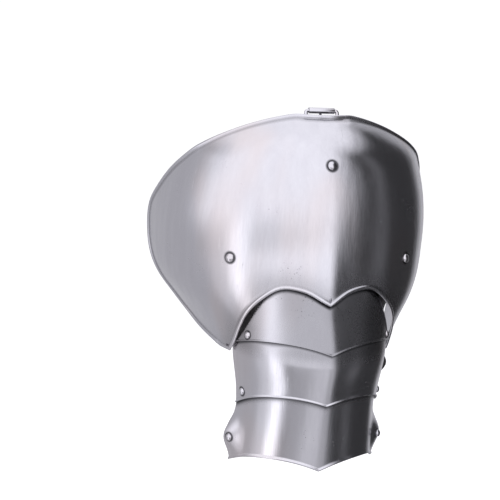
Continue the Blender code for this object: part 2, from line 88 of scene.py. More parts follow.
def fillRows(bm, grid, closed=False):
    # faces between the rows of a grid of vertices
    for lower, upper in zip(grid, grid[1:]):
        if closed:
            lower, upper = lower + lower[:1], upper + upper[:1]
        for corners in zip(lower, lower[1:], upper[1:], upper):
            corners = list(dict.fromkeys(corners))
            if len(corners) > 2:
                bm.faces.new(corners)


def addPiece(name, bm, material, sharp=50):
    bm.normal_update()
    mesh = bpy.data.meshes.new(name)
    bm.to_mesh(mesh)
    bm.free()
    piece = bpy.data.objects.new(name, mesh)
    bpy.context.collection.objects.link(piece)
    mesh.materials.append(material)
    mesh.shade_smooth()
    mesh.set_sharp_from_angle(angle=math.radians(sharp))
    return piece


def settle(piece):
    # the result of the live modifiers, as a plain mesh
    graph = bpy.context.evaluated_depsgraph_get()
    mesh = bpy.data.meshes.new_from_object(piece.evaluated_get(graph), depsgraph=graph)
    piece.modifiers.clear()
    piece.data = mesh
    mesh.shade_smooth()
    mesh.set_sharp_from_angle(angle=math.radians(40))
    return piece


# shader maths

class Sock:
    # one output socket that can be used in expressions
    def __init__(self, shader, socket):
        self.shader = shader
        self.socket = socket

    def maths(self, operation, *others):
        return self.shader.node("ShaderNodeMath", {"operation": operation}, self, *others)[0]

    def __add__(self, other):
        return self.maths("ADD", other)

    __radd__ = __add__

    def __sub__(self, other):
        return self.maths("SUBTRACT", other)

    def __rsub__(self, other):
        return self.shader.node("ShaderNodeMath", {"operation": "SUBTRACT"}, other, self)[0]

    def __mul__(self, other):
        return self.maths("MULTIPLY", other)

    __rmul__ = __mul__


class Shader:
    # a material's node tree, with one method that adds any node
    def __init__(self, name):
        self.material = bpy.data.materials.new(name)
        self.material.use_nodes = True
        self.tree = self.material.node_tree
        self.surface = self.tree.nodes["Principled BSDF"]
        coordinates = self.tree.nodes.new("ShaderNodeTexCoord")
        self.place = Sock(self, coordinates.outputs["Object"])

    def node(self, kind, settings=None, *values, **named):
        made = self.tree.nodes.new(kind)
        for key, value in (settings or {}).items():
            setattr(made, key, value)
        for key, value in list(enumerate(values)) + [(k.replace("_", " "), v) for k, v in named.items()]:
            self.put(made.inputs[key], value)
        return [Sock(self, out) for out in made.outputs if out.enabled]

    def put(self, target, value):
        if isinstance(value, Sock):
            self.tree.links.new(value.socket, target)
        else:
            target.default_value = value

    def stretched(self, scale):
        return self.node("ShaderNodeMapping", None, Scale=scale, Vector=self.place)[0]

    def noise(self, vector, scale, detail=3.0, roughness=0.5, distortion=0.0):
        return self.node("ShaderNodeTexNoise", None, Vector=vector, Scale=scale, Detail=detail,
                         Roughness=roughness, Distortion=distortion)[0]

    def spread(self, value, low, high, start=0.0, end=1.0):
        return self.node("ShaderNodeMapRange", {"interpolation_type": "SMOOTHSTEP"}, value,
                         low, high, start, end)[0]

    def mixColour(self, factor, first, second):
        made = self.tree.nodes.new("ShaderNodeMix")
        made.data_type = "RGBA"
        self.put(made.inputs[0], factor)
        self.put(made.inputs[6], first)
        self.put(made.inputs[7], second)
        return Sock(self, made.outputs[2])

    def bump(self, height, strength, distance, over=None):
        # over: a finer bump to lay this one on
        extra = {"Normal": over} if over else {}
        return self.node("ShaderNodeBump", None, Strength=strength, Distance=distance, Height=height,
                         **extra)[0]

    def awayFrom(self, place):
        return self.node("ShaderNodeVectorMath", {"operation": "DISTANCE"}, self.place, place)[0]

    def finish(self, **sockets):
        for key, value in sockets.items():
            self.put(self.surface.inputs[key.replace("_", " ")], value)
        return self.material


# steel, brushed from top to bottom

steelFinish = {
    "light": (0.66, 0.66, 0.69, 1),
    "dull": (0.50, 0.49, 0.53, 1),
    "warm": (0.60, 0.53, 0.52, 1),
    "pit": (0.12, 0.11, 0.12, 1),
    # dark colour of the painted shade: under plate edges, in the rim's groove, by the arch, round rivets
    "paintedShade": (0.05, 0.05, 0.055, 1),
    "roughness": 0.22,
    "streakScale": 900.0,
    "bandScale": 95.0,
    "cloudScale": 15.0,
    "broadScale": 26.0,
    "warmScale": 13.0,
    "pitScale": 420.0,
    "patchScale": 34.0,
    "scratchScale": 19.0,
    "wave": 0.0013,
    "bandWave": 0.22,
    "brushDepth": 0.00012,
    "warmShare": 0.55,
    "pitShare": 0.55,
    # a painted shade ring round each rivet head, from and to these shares of its radius
    "ring": (0.80, 1.16),
    "rivetShadeShare": 0.95,
    # places of heavier pitting on the shoulder plate and the lames, with their reach
    "pitted": [((-0.030, -0.005, -0.093), 0.016), ((-0.020, -0.012, -0.128), 0.020),
               ((-0.045, 0.010, -0.150), 0.012), ((0.020, -0.030, -0.020), 0.014),
               ((-0.006, -0.012, -0.215), 0.016)],
}


def pitting(s, look):
    # small pits, scattered in patches and gathered round the pitted places
    dust = s.node("ShaderNodeTexVoronoi", {"feature": "F1"}, Vector=s.place, Scale=look["pitScale"])[0]
    patch = s.spread(s.noise(s.place, look["patchScale"], 2.0, 0.5), 0.60, 0.72) * 0.7
    for middle, reach in look["pitted"]:
        patch = patch.maths("MAXIMUM", s.spread(s.awayFrom(middle), reach * 0.5, reach, 1.0, 0.0))
    chance = s.spread(s.noise(s.place, look["pitScale"], 2.0), 0.44, 0.56)
    return (1.0 - s.spread(dust, 0.10, 0.30)) * patch * chance


def brushedSteel(name, roughness=0.0, pits=1.0, wave=1.0, studs=()):
    # studs: places of rivets, each with its head's radius, that get a painted shade ring round the head
    look = steelFinish
    s = Shader(name)
    # painted shade read from the mesh, with painted shade rings round the rivets laid over it
    paintedShade = s.node("ShaderNodeAttribute", {"attribute_name": "paintedShade"})[2]
    for place, radius in studs:
        start, end = (radius * share for share in look["ring"])
        paintedShade = paintedShade.maths("MAXIMUM", s.spread(s.awayFrom(place), start, end, look["rivetShadeShare"], 0.0))
    streaks = s.noise(s.stretched((1.0, 1.0, 0.035)), look["streakScale"], 4.0, 0.6)
    bands = s.noise(s.stretched((1.0, 1.0, 0.10)), look["bandScale"], 3.0, 0.55)
    broad = s.noise(s.stretched((1.0, 1.0, 0.25)), look["broadScale"], 3.0, 0.5)
    cloud = s.noise(s.place, look["cloudScale"], 4.0, 0.55, 0.4)
    warmth = s.spread(s.noise(s.stretched((1.0, 1.0, 0.4)), look["warmScale"], 2.0), 0.50, 0.72)
    pit = pitting(s, look) * pits
    cells = s.node("ShaderNodeTexVoronoi", {"feature": "DISTANCE_TO_EDGE"},
                   Vector=s.stretched((1.0, 1.0, 0.22)), Scale=look["scratchScale"])[0]
    scratch = (1.0 - s.spread(cells, 0.0, 0.006)) * s.spread(s.noise(s.place, 60.0, 2.0), 0.56, 0.64)
    base = s.mixColour(cloud * 0.35 + streaks * 0.3 + bands * 0.5, look["light"], look["dull"])
    base = s.mixColour(warmth * look["warmShare"], base, look["warm"])
    base = s.mixColour(pit * look["pitShare"], base, look["pit"])
    # the painted shade darkens the steel's colour
    base = s.mixColour(paintedShade, base, look["paintedShade"])
    rough = (look["roughness"] + roughness) + (streaks - 0.5) * 0.14 + (cloud - 0.5) * 0.12
    rough = rough + (bands - 0.5) * 0.12 + pit * 0.25 + paintedShade * 0.15
    fine = s.bump(streaks + scratch * -1.4 + pit * -2.2, 0.22, look["brushDepth"])
    waves = s.bump(broad + bands * look["bandWave"], 0.30 * wave, look["wave"], fine)
    return s.finish(Base_Color=base, Metallic=1.0, Roughness=rough, Normal=waves)


leatherFinish = {
    "deep": (0.012, 0.011, 0.012, 1),
    "worn": (0.055, 0.050, 0.048, 1),
    "roughness": 0.42,
    "grainScale": 1100.0,
    "creaseScale": 90.0,
    "cloudScale": 30.0,
    "grainDepth": 0.0002,
    "creaseDepth": 0.0006,
}


def blackLeather(name):
    look = leatherFinish
    s = Shader(name)
    grain = s.node("ShaderNodeTexVoronoi", {"feature": "F1"}, Vector=s.place, Scale=look["grainScale"])[0]
    crease = s.noise(s.stretched((1.0, 1.0, 2.5)), look["creaseScale"], 5.0, 0.6, 0.6)
    cloud = s.noise(s.place, look["cloudScale"], 3.0)
    base = s.mixColour(s.spread(crease + cloud * 0.4, 0.55, 0.95), look["deep"], look["worn"])
    rough = look["roughness"] + (cloud - 0.5) * 0.2 + grain * 0.12
    fine = s.bump(grain * -1.0, 0.45, look["grainDepth"])
    folds = s.bump(crease, 0.35, look["creaseDepth"], fine)
    return s.finish(Base_Color=base, Roughness=rough, Normal=folds)


# the CAD rivets' places, for the painted shade rings round them and for the finer heads

headRise = 0.52


def rivetEnds(node):
    # the two poles of a turned rivet, its head first, and the head's radius
    bm = bmesh.new()
    bm.from_mesh(nodes[node].data)
    bmesh.ops.remove_doubles(bm, verts=bm.verts[:], dist=1e-6)
    poles = sorted(bm.verts, key=lambda v: len(v.link_faces))[-2:]
    poles.sort(key=lambda v: (v.co - Vector((0, 0.12, v.co.z))).length)
    back, head = poles[0].co.copy(), poles[1].co.copy()
    axis = (head - back).normalized()
    radius = max(((v.co - head) - axis * (v.co - head).dot(axis)).length for v in bm.verts)
    bm.free()
    return head, back, axis, radius


rivetNames = sorted(name for name in nodes if name.endswith("_rivet") or name.endswith("_stud"))
rivetSpots = {name: rivetEnds(name) for name in rivetNames}


def spotsOf(*words):
    # the middle of each head's foot and its radius
    found = [rivetSpots[name] for name in rivetNames if any(word in name for word in words)]
    return [(head - axis * radius * headRise, radius) for head, back, axis, radius in found]


plateSteel = brushedSteel("brushed shoulder steel", studs=spotsOf("top_rivet", "cop_rivet"))
lameSteel = brushedSteel("brushed lame steel", 0.0, 1.4, studs=spotsOf("lame_rivet", "stud"))
rivetSteel = brushedSteel("rivet steel", -0.05, 0.3, 0.3)
buckleSteel = brushedSteel("polished buckle steel", -0.12, 0.0, 0.2)
hangingBlack = blackLeather("hanging leather black")
strapBlack = blackLeather("collar strap black")
print("materials made")


# shoulder plate: superelliptic sections about an upright centre line

cop = {
    "steel": 0.0015,
    "halfWidth": 0.135,
    "drop": 0.183,
    "rise": 0.0385,
    "centreBack": 0.160,
    "squareness": 2.3,
    "keelDepth": 0.0105,
    "keelWidth": 0.020,
    "keelSoftness": 0.009,
    "rimWidth": 0.0045,
    "rimRise": 0.0017,
    # painted shade above the arch, and in the groove behind the rim between two shares of its width
    "archPaintedShade": 0.30,
    "archPaintedShadeWidth": 0.017,
    "groovePaintedShade": 0.42,
    "grooveFrom": 0.6,
    "grooveTo": 0.95,
    "columns": 260,
    "rows": 64,
    # height, half width, ridge, keel
    "sections": [(-1.00, 0.705, -0.243, 1.00), (-0.91, 0.765, -0.205, 1.00), (-0.84, 0.830, -0.172, 1.00),
                 (-0.74, 0.925, -0.133, 1.00), (-0.48, 1.000, -0.078, 0.60), (-0.16, 0.955, -0.046, 0.25),
                 (-0.07, 0.918, -0.026, 0.18), (0.00, 0.880, 0.000, 0.12), (0.25, 0.822, 0.032, 0.08),
                 (0.60, 0.690, 0.106, 0.04), (1.00, 0.500, 0.240, 0.00)],
    # share along the edge from the ridge, angle, height
    "arch": [(0.00, 0.0, -0.680), (0.12, 5.5, -0.634), (0.25, 10.5, -0.616), (0.42, 16.5, -0.622),
             (0.58, 23.0, -0.675), (0.72, 30.5, -0.755), (0.86, 39.5, -0.865), (1.00, 50.0, -0.995)],
    "outerEdge": [(0.00, 0.0, 1.000), (0.10, 22.0, 0.960), (0.20, 44.0, 0.660), (0.30, 60.0, 0.120),
                  (0.40, 72.0, -0.110), (0.50, 80.0, -0.245), (0.62, 86.5, -0.400), (0.74, 86.5, -0.620),
                  (0.84, 81.0, -0.800), (0.93, 71.0, -0.940), (1.00, 56.0, -1.000)],
    # share of the rim's width inwards, share of its rise: a rolled bead and the groove behind it
    "rim": [(0.00, 0.25), (0.06, 0.62), (0.16, 0.90), (0.30, 1.00), (0.46, 1.00), (0.62, 0.86),
            (0.76, 0.50), (0.87, 0.14), (1.00, 0.00)],
}


def copHeight(share):
    return share * (cop["drop"] if share < 0 else cop["rise"])


copLevels = [(copHeight(row[0]), *row[1:]) for row in cop["sections"]]


def keelAt(x, soft):
    # the ridge's rise at a distance from the middle, 1 on the ridge
    return math.exp(-(math.hypot(x, soft) - soft) / cop["keelWidth"])


def copSection(z):
    return (cop["halfWidth"] * readCurve(copLevels, 1, z),
            cop["centreBack"] * (1 - readCurve(copLevels, 2, z)),
            cop["keelDepth"] * readCurve(copLevels, 3, z))


def copSurface(angle, z):
    halfWidth, depth, keel = copSection(z)
    power = 2 / cop["squareness"]
    x = halfWidth * math.copysign(abs(math.sin(angle)) ** power, angle)
    ahead = depth * max(math.cos(angle), 0.0) ** power + keel * keelAt(x, cop["keelSoftness"])
    return Vector((x, cop["centreBack"] - ahead, z))


def copAngle(point):
    # the angle at which the surface passes through a point
    halfWidth, depth, keel = copSection(point.z)
    across = (abs(point.x) / halfWidth) ** (cop["squareness"] / 2)
    ahead = (cop["centreBack"] - point.y - keel * keelAt(point.x, cop["keelSoftness"])) / depth
    return math.copysign(math.atan2(across, max(ahead, 0.0) ** (cop["squareness"] / 2)), point.x)


def normalOf(surface, angle, z):
    step = 0.0005
    across = surface(angle + step * 10, z) - surface(angle - step * 10, z)
    up = surface(angle, z + step) - surface(angle, z - step)
    return across.cross(up).normalized()


def edgePoints(table, count):
    rows = [(share, angle, copHeight(height)) for share, angle, height in table]
    points = []
    for i in range(count + 1):
        along = 2 * i / count - 1
        angle = math.radians(readCurve(rows, 1, abs(along)))
        points.append((math.copysign(angle, along), readCurve(rows, 2, abs(along))))
    return points


def wall(piece, thickness):
    solid = piece.modifiers.new("steel", "SOLIDIFY")
    solid.thickness = thickness
    solid.offset = -1.0
    return settle(piece)


insideArm = 0.1


def faceOut(bm):
    # an open sheet's faces look away from an upright line inside the arm
    bmesh.ops.recalc_face_normals(bm, faces=bm.faces[:])
    bm.normal_update()
    total = 0.0
    for face in bm.faces:
        away = face.calc_center_median() - Vector((0.0, insideArm, 0.0))
        away.z = 0.0
        total += face.normal.dot(away) * face.calc_area()
    if total < 0:
        bmesh.ops.reverse_faces(bm, faces=bm.faces[:])


def placePiece(piece, slot, body, *replaced):
    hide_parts(*replaced)
    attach(piece, body)


def makeCop():
    arch = edgePoints(cop["arch"], cop["columns"])
    outer = edgePoints(cop["outerEdge"], cop["columns"])
    loop = arch + outer[::-1]
    points = [copSurface(*at) for at in loop]
    normals = [normalOf(copSurface, *at) for at in loop]
    count = len(loop)
    inward = []
    for i in range(count):
        before = (points[i] - points[i - 1]).normalized()
        after = (points[(i + 1) % count] - points[i]).normalized()
        first = normals[i].cross(before).normalized()
        second = normals[i].cross(after).normalized()
        inward.append((first + second) / (1 + first.dot(second)))
    bm = bmesh.new()
    paintedShade = bm.verts.layers.float.new("paintedShade")
    rings = []
    for share, rise in cop["rim"]:
        ring = [bm.verts.new(point + way * share * cop["rimWidth"] + normal * rise * cop["rimRise"])
                for point, way, normal in zip(points, inward, normals)]
        for vert in ring:
            # painted shade in the groove behind the rim
            vert[paintedShade] = cop["groovePaintedShade"] * smoothStep(cop["grooveFrom"], cop["grooveTo"], share)
        rings.append(ring)
    fillRows(bm, rings, closed=True)
    low = rings[-1][:len(arch)]
    high = rings[-1][len(arch):][::-1]
    grid = [low] + [[] for _ in range(cop["rows"] - 1)] + [high]
    for a, b in zip(low, high):
        startAngle, endAngle = copAngle(a.co), copAngle(b.co)
        for row in range(1, cop["rows"]):
            share = row / cop["rows"]
            z = a.co.z + (b.co.z - a.co.z) * share
            vert = bm.verts.new(copSurface(startAngle + (endAngle - startAngle) * share, z))
            # painted shade, fading upwards from the arch
            vert[paintedShade] = cop["archPaintedShade"] * math.exp(-((a.co - vert.co).length / cop["archPaintedShadeWidth"])**2)
            grid[row].append(vert)
    fillRows(bm, grid)
    faceOut(bm)
    return wall(addPiece("shoulderPlate", bm, plateSteel), cop["steel"])


placePiece(makeCop(), "cop_steel", "pauldron", "shoulder_cop")
print("shoulder plate made")


# lames round the upper arm

lames = {
    "steel": 0.0013,
    "lap": 0.0008,
    "keelSoftness": 0.0055,
    "armBack": 0.033,
    "armRadius": 0.071,
    "armDrop": 0.281,
    "tabFlare": 0.0095,
    "tabHeight": 0.017,
    "tabFrom": 62.0,
    "tabFull": 84.0,
    "tabAt": -0.941,
    "lipRise": 0.0011,
    "lipHeight": 0.0036,
    "edgeRoll": 0.0009,
    "edgeHeight": 0.0022,
    # shares of the lip's height, and of its rise there
    "lip": [(0.0, 0.35), (0.08, 0.75), (0.2, 1.0), (0.35, 1.0), (0.5, 0.8), (0.7, 0.3), (1.0, 0.0)],
    # painted shade line under the plate above, and along the plate's own lower edge
    "lipPaintedShade": 0.75,
    "lipPaintedShadeShare": 0.25,
    "paintedShade": 1.0,
    "paintedShadeWidth": 0.0034,
    "archShade": 0.0015,
    # painted shade under the arch, left out along one band where a bright reflection falls
    "underArchShade": 0.50,
    "underArchShadeHeights": (-0.183, -0.166),
    "reflectionBandAt": -42.0,
    "reflectionBandWidth": 9.0,
    "columns": 150,
    "rows": 90,
    # height, radius, depth, keel
    "arm": [(-1.00, 0.950, 0.880, 0.25), (-0.77, 0.965, 0.960, 0.35), (-0.63, 1.045, 1.020, 0.50),
            (-0.54, 1.035, 0.930, 0.60), (-0.46, 1.045, 0.760, 0.60), (-0.40, 1.070, 0.660, 0.45),
            (-0.36, 1.080, 0.620, 0.30)],
    # top, its rise and corner, bottom, its rise and corner, angles at top and bottom
    "plates": {
        "upperLame": (-0.400, 0.040, -0.012, -0.590, 0.026, -0.014, 44.0, 75.0),
        "middleLame": (-0.568, 0.036, -0.036, -0.766, 0.026, -0.058, 85.0, 79.0),
        "lowerLame": (-0.728, 0.026, -0.064, -1.000, 0.034, -0.034, 81.0, 83.0),
    },
    "ogee": [(0.00, 0.00), (0.10, 0.40), (0.25, 0.80), (0.48, 1.00), (0.75, 0.72), (1.00, 0.00)],
}


def armSurface(angle, z, lift=0.0):
    rowAt = z / lames["armDrop"]
    radius = lames["armRadius"] * readCurve(lames["arm"], 1, rowAt)
    depth = lames["armRadius"] * readCurve(lames["arm"], 2, rowAt)
    keel = cop["keelDepth"] * readCurve(lames["arm"], 3, rowAt)
    level = (z - lames["tabAt"] * lames["armDrop"]) / lames["tabHeight"]
    corner = smoothStep(math.radians(lames["tabFrom"]), math.radians(lames["tabFull"]), abs(angle))
    flare = lames["tabFlare"] * math.exp(-level**2) * corner
    x = (radius + flare + lift) * math.sin(angle)
    y = lames["armBack"] - (depth + flare + lift) * math.cos(angle) - keel * keelAt(x, lames["keelSoftness"])
    return Vector((x, y, z))


def edgeHeight(ridge, rise, corner, around):
    return lames["armDrop"] * (ridge + rise * readCurve(lames["ogee"], 1, around) + corner * around**2)


archLine = sorted((point.x, point.z) for point in (copSurface(*at) for at in edgePoints(cop["arch"], 80)))


def edgeAbove(name, angle, x):
    # height of the edge that lies over this plate
    if name == "upperLame":
        return float(np.interp(x, *zip(*archLine))) - lames["archShade"]
    over = lames["plates"]["upperLame" if name == "middleLame" else "middleLame"]
    return edgeHeight(*over[3:6], min(abs(angle) / math.radians(over[7]), 1.0))


def underArchShadeAt(angle, z):
    # painted shade on the lame under the arch, lighter along one band where a reflection falls
    reflectionBand = math.exp(-((math.degrees(angle) - lames["reflectionBandAt"]) / lames["reflectionBandWidth"])**2)
    fade = smoothStep(*lames["underArchShadeHeights"], z)
    return lames["underArchShade"] * fade * (1 - 0.9 * reflectionBand)


def makeLame(name, shape):
    top, topRise, topCorner, bottom, bottomRise, bottomCorner, topAngle, bottomAngle = shape
    height = lames["armDrop"] * (top - bottom)
    last = name == "lowerLame"
    reach = lames["lipHeight" if last else "edgeHeight"] / height
    roll = lames["lipRise" if last else "edgeRoll"]
    ups = [reach * share for share, rise in lames["lip"]]
    ups += [reach + (1 - reach) * row / lames["rows"] for row in range(1, lames["rows"] + 1)]
    lifts = [roll * rise for share, rise in lames["lip"]] + [0.0] * lames["rows"]
    bm = bmesh.new()
    paintedShade = bm.verts.layers.float.new("paintedShade")
    grid = []
    for up, extra in zip(ups, lifts):
        side = bottomAngle + (topAngle - bottomAngle) * up
        line = []
        for i in range(lames["columns"] + 1):
            around = 2 * i / lames["columns"] - 1
            low = edgeHeight(bottom, bottomRise, bottomCorner, abs(around))
            high = edgeHeight(top, topRise, topCorner, abs(around))
            lift = (lames["steel"] + lames["lap"]) * (1 - up)
            angle = math.radians(side) * around
            vert = bm.verts.new(armSurface(angle, low + (high - low) * up, lift + extra))
            # painted shade: a dark line under the edge above, one along this plate's own lower edge, and the
            # shade under the arch
            under = (edgeAbove(name, angle, vert.co.x) - vert.co.z) / lames["paintedShadeWidth"]
            edge = 1 - up / (reach * lames["lipPaintedShadeShare"])
            vert[paintedShade] = max(lames["paintedShade"] * math.exp(-max(under, 0.0)**2), lames["lipPaintedShade"] * edge,
                              underArchShadeAt(angle, vert.co.z))
            line.append(vert)
        grid.append(line)
    fillRows(bm, grid)
    faceOut(bm)
    return wall(addPiece(name, bm, lameSteel), lames["steel"])


for name, shape in lames["plates"].items():
    placePiece(makeLame(name, shape), "lame_steel", "pauldron", name.replace("Lame", "_lame"))
print("lames made")


# hanging leathers

leathers = {
    "thickness": 0.0025,
    "clearance": 0.0017,
    "copAngle": 33.0,
    "copSpread": 10.5,
    "around": 70.0,
    "halfAngle": 19.0,
    "top": 0.066,
    "bottom": 0.277,
    "leavesCop": 0.112,
    "meetsLames": 0.144,
    "slack": 0.0150,
    "slackFrom": 85.2,
    "slackFull": 89.5,
    "slackAt": -0.712,
    "slackSpread": 0.052,
    "rows": 130,
    "columns": 22,
    "edgeRound": 0.12,
}


def leatherPoint(side, across, z):
    # a place on a leather's outer face, and the way inwards; across runs from -1 to 1
    on = math.radians(leathers["copAngle"]) * side + math.radians(leathers["copSpread"]) * across
    copNormal = normalOf(copSurface, on, z)
    upper = copSurface(on, z) - copNormal * (cop["steel"] + leathers["clearance"])
    around = math.radians(leathers["around"] * side + leathers["halfAngle"] * across)
    slack = 0.0
    if side > 0:
        level = (z / lames["armDrop"] - leathers["slackAt"]) / leathers["slackSpread"]
        bulge = smoothStep(*map(math.radians, (leathers["slackFrom"], leathers["slackFull"])), abs(around))
        slack = leathers["slack"] * math.exp(-level**2) * bulge
    lower = armSurface(around, z, slack - lames["steel"] - leathers["clearance"])
    lowerNormal = normalOf(armSurface, around, z)
    share = smoothStep(leathers["leavesCop"], leathers["meetsLames"], -z)
    return upper.lerp(lower, share), -(copNormal.lerp(lowerNormal, share)).normalized()


def softBand(name, lineOf, rows, columns, thickness, edge, material):
    # a strip with rounded edges; lineOf(across, along) gives its outer face and the way inwards
    section = [(-1.0, 0.5)]
    steps = 4
    for corner in range(steps + 1):
        a = math.pi / 2 * corner / steps
        section.append((-1.0 + edge * (1 - math.cos(a)), 0.5 * (1 - math.sin(a))))
    section += [(-1.0 + edge + (2 - 2 * edge) * i / columns, 0.0) for i in range(1, columns)]
    section += [(-across, depth) for across, depth in section[:steps + 2][::-1]]
    section += [(across, 1 - depth) for across, depth in section[::-1][1:-1]]
    bm = bmesh.new()
    grid = []
    for row in range(rows + 1):
        along = row / rows
        ring = []
        for across, depth in section:
            point, inwards = lineOf(across, along)
            ring.append(bm.verts.new(point + inwards * thickness * depth))
        grid.append(ring)
    fillRows(bm, grid, closed=True)
    bm.faces.new(grid[0])
    bm.faces.new(grid[-1][::-1])
    bmesh.ops.recalc_face_normals(bm, faces=bm.faces[:])
    return addPiece(name, bm, material, 60)


def makeLeather(label, side):
    def lineOf(across, along):
        return leatherPoint(side, across, -leathers["top"] - (leathers["bottom"] - leathers["top"]) * along)

    return softBand(label + "Leather", lineOf, leathers["rows"], leathers["columns"], leathers["thickness"],
                    leathers["edgeRound"], hangingBlack)


for label, side in (("front", -1), ("back", 1)):
    placePiece(makeLeather(label, side), "hanging_leather", "pauldron", label + "_hanging_leather")
print("leathers made")


# rivets: heads and burrs set by Geometry Nodes on points read from the CAD rivets

rivets = {
    "headRing": 40,
    "headRows": 24,
    "headShare": 0.72,
    "flatness": 0.74,
    "headFoot": -0.15,
    "burrRing": 24,
    "burrRows": 12,
    "burrRadius": 0.92,
    "burrFlatness": 0.35,
    "burrSunk": 0.0006,
    "wobble": 0.05,
    "wobbleScale": 1.6,
    "turn": 6.28,
    "seed": 7,
}


class Geometry:
    # a geometry tree with named inputs, and one method that adds any node
    def __init__(self, name, inputs):
        self.tree = bpy.data.node_groups.new(name, "GeometryNodeTree")
        face = self.tree.interface
        for label, kind in [("Geometry", "Geometry")] + inputs:
            face.new_socket(label, in_out="INPUT", socket_type="NodeSocket" + kind)
        face.new_socket("Geometry", in_out="OUTPUT", socket_type="NodeSocketGeometry")
        self.given = self.tree.nodes.new("NodeGroupInput").outputs

    def add(self, kind, settings=None, *values, **named):
        made = self.tree.nodes.new(kind)
        for key, value in (settings or {}).items():
            setattr(made, key, value)
        sockets = {socket.name: socket for socket in made.inputs if socket.enabled}
        ordered = [socket for socket in made.inputs if socket.enabled]
        for socket, value in list(zip(ordered, values)) + [(sockets[key.replace("_", " ")], value)
                                                           for key, value in named.items()]:
            if isinstance(value, bpy.types.NodeSocket):
                self.tree.links.new(value, socket)
            else:
                socket.default_value = value
        return next(socket for socket in made.outputs if socket.enabled)

    def field(self, name, kind):
        return self.add("GeometryNodeInputNamedAttribute", {"data_type": kind}, Name=name)

    def maths(self, operation, *values):
        return self.add("ShaderNodeMath", {"operation": operation}, *values)

    def scaled(self, vector, scale):
        return self.add("ShaderNodeVectorMath", {"operation": "SCALE"}, vector, Scale=scale)


def rivetTree():
    g = Geometry("rivet heads and burrs", [
        ("Head Flatness", "Float"), ("Wobble", "Float"), ("Head Ring", "Int"), ("Burr Ring", "Int"),
        ("Seed", "Int"), ("Steel", "Material")])
    axis = g.field("axis", "FLOAT_VECTOR")
    radius = g.field("radius", "FLOAT")
    depth = g.field("depth", "FLOAT")
    align = g.add("FunctionNodeAlignRotationToVector", {"axis": "Z"}, Vector=axis)
    turn = g.add("FunctionNodeRandomValue", {"data_type": "FLOAT"}, Max=rivets["turn"], Seed=g.given["Seed"])
    spin = g.add("FunctionNodeEulerToRotation", None, g.add("ShaderNodeCombineXYZ", None, Z=turn))
    turned = g.add("FunctionNodeRotateRotation", {"rotation_space": "LOCAL"}, Rotation=align, Rotate_By=spin)

    # head: a squashed dome with its lower half cut off, a little uneven
    place = g.add("GeometryNodeInputPosition")
    ball = g.add("GeometryNodeMeshUVSphere", None, Segments=g.given["Head Ring"], Rings=rivets["headRows"],
                 Radius=1.0)
    apart = g.tree.nodes.new("ShaderNodeSeparateXYZ")
    g.tree.links.new(place, apart.inputs[0])
    under = g.add("FunctionNodeCompare", {"data_type": "FLOAT", "operation": "LESS_THAN"},
                  apart.outputs["Z"], rivets["headFoot"])
    cut = g.add("GeometryNodeDeleteGeometry", {"domain": "POINT"}, Geometry=ball, Selection=under)
    squash = g.add("ShaderNodeCombineXYZ", None, X=1.0, Y=1.0, Z=g.given["Head Flatness"])
    dome = g.add("GeometryNodeTransform", None, Geometry=cut, Scale=squash)
    bumpy = g.add("ShaderNodeTexNoise", {"noise_dimensions": "3D"}, Vector=place, Scale=rivets["wobbleScale"])
    amount = g.maths("MULTIPLY", g.maths("SUBTRACT", bumpy, 0.5), g.given["Wobble"])
    uneven = g.scaled(g.add("GeometryNodeInputNormal"), amount)
    dome = g.add("GeometryNodeSetPosition", None, Geometry=dome, Offset=uneven)
    heads = g.add("GeometryNodeInstanceOnPoints", None, Points=g.given["Geometry"], Instance=dome,
                  Rotation=turned, Scale=radius)

    # burr: a flat round button at the far end of the shank
    sunk = g.add("GeometryNodeSetPosition", None, Geometry=g.given["Geometry"],
                 Offset=g.scaled(axis, g.maths("MULTIPLY", depth, -1.0)))
    ball = g.add("GeometryNodeMeshUVSphere", None, Segments=g.given["Burr Ring"], Rings=rivets["burrRows"],
                 Radius=rivets["burrRadius"])
    button = g.add("GeometryNodeTransform", None, Geometry=ball, Scale=(1.0, 1.0, rivets["burrFlatness"]))
    burrs = g.add("GeometryNodeInstanceOnPoints", None, Points=sunk, Instance=button, Rotation=turned,
                  Scale=radius)

    both = g.tree.nodes.new("GeometryNodeJoinGeometry")
    g.tree.links.new(heads, both.inputs[0])
    g.tree.links.new(burrs, both.inputs[0])
    real = g.add("GeometryNodeRealizeInstances", None, Geometry=both.outputs[0])
    smooth = g.add("GeometryNodeSetShadeSmooth", None, Geometry=real)
    dressed = g.add("GeometryNodeSetMaterial", None, Geometry=smooth, Material=g.given["Steel"])
    g.tree.links.new(dressed, g.tree.nodes.new("NodeGroupOutput").inputs[0])
    return g.tree


def makeRivets():
    ends = [rivetSpots[name] for name in rivetNames]
    # the dome's foot lies on the plate, one dome height below the CAD head's top
    lift = rivets["flatness"] * rivets["headShare"]
    mesh = bpy.data.meshes.new("rivetHeads")
    mesh.from_pydata([head - axis * radius * lift for head, back, axis, radius in ends], [], [])
    for label, kind in (("axis", "FLOAT_VECTOR"), ("radius", "FLOAT"), ("depth", "FLOAT")):
        mesh.attributes.new(label, kind, "POINT")
    for i, (head, back, axis, radius) in enumerate(ends):
        mesh.attributes["axis"].data[i].vector = axis
        mesh.attributes["radius"].data[i].value = radius * rivets["headShare"]
        mesh.attributes["depth"].data[i].value = (head - back).length - radius * lift - rivets["burrSunk"]
    piece = bpy.data.objects.new("rivetHeads", mesh)
    bpy.context.collection.objects.link(piece)
    tree = rivetTree()
    ids = {item.name: item.identifier for item in tree.interface.items_tree if item.in_out == "INPUT"}
    live = piece.modifiers.new("rivets", "NODES")
    live.node_group = tree
    for label, value in (("Head Flatness", rivets["flatness"]), ("Wobble", rivets["wobble"]),
                         ("Head Ring", rivets["headRing"]), ("Burr Ring", rivets["burrRing"]),
                         ("Seed", rivets["seed"]), ("Steel", rivetSteel)):
        live[ids[label]] = value
    return settle(piece)


placePiece(makeRivets(), "rivet_steel", "pauldron", *rivetNames)
print("rivets made:", len(rivetNames))


# buckle: round wire, a roller of rolled sheet, a flat tongue

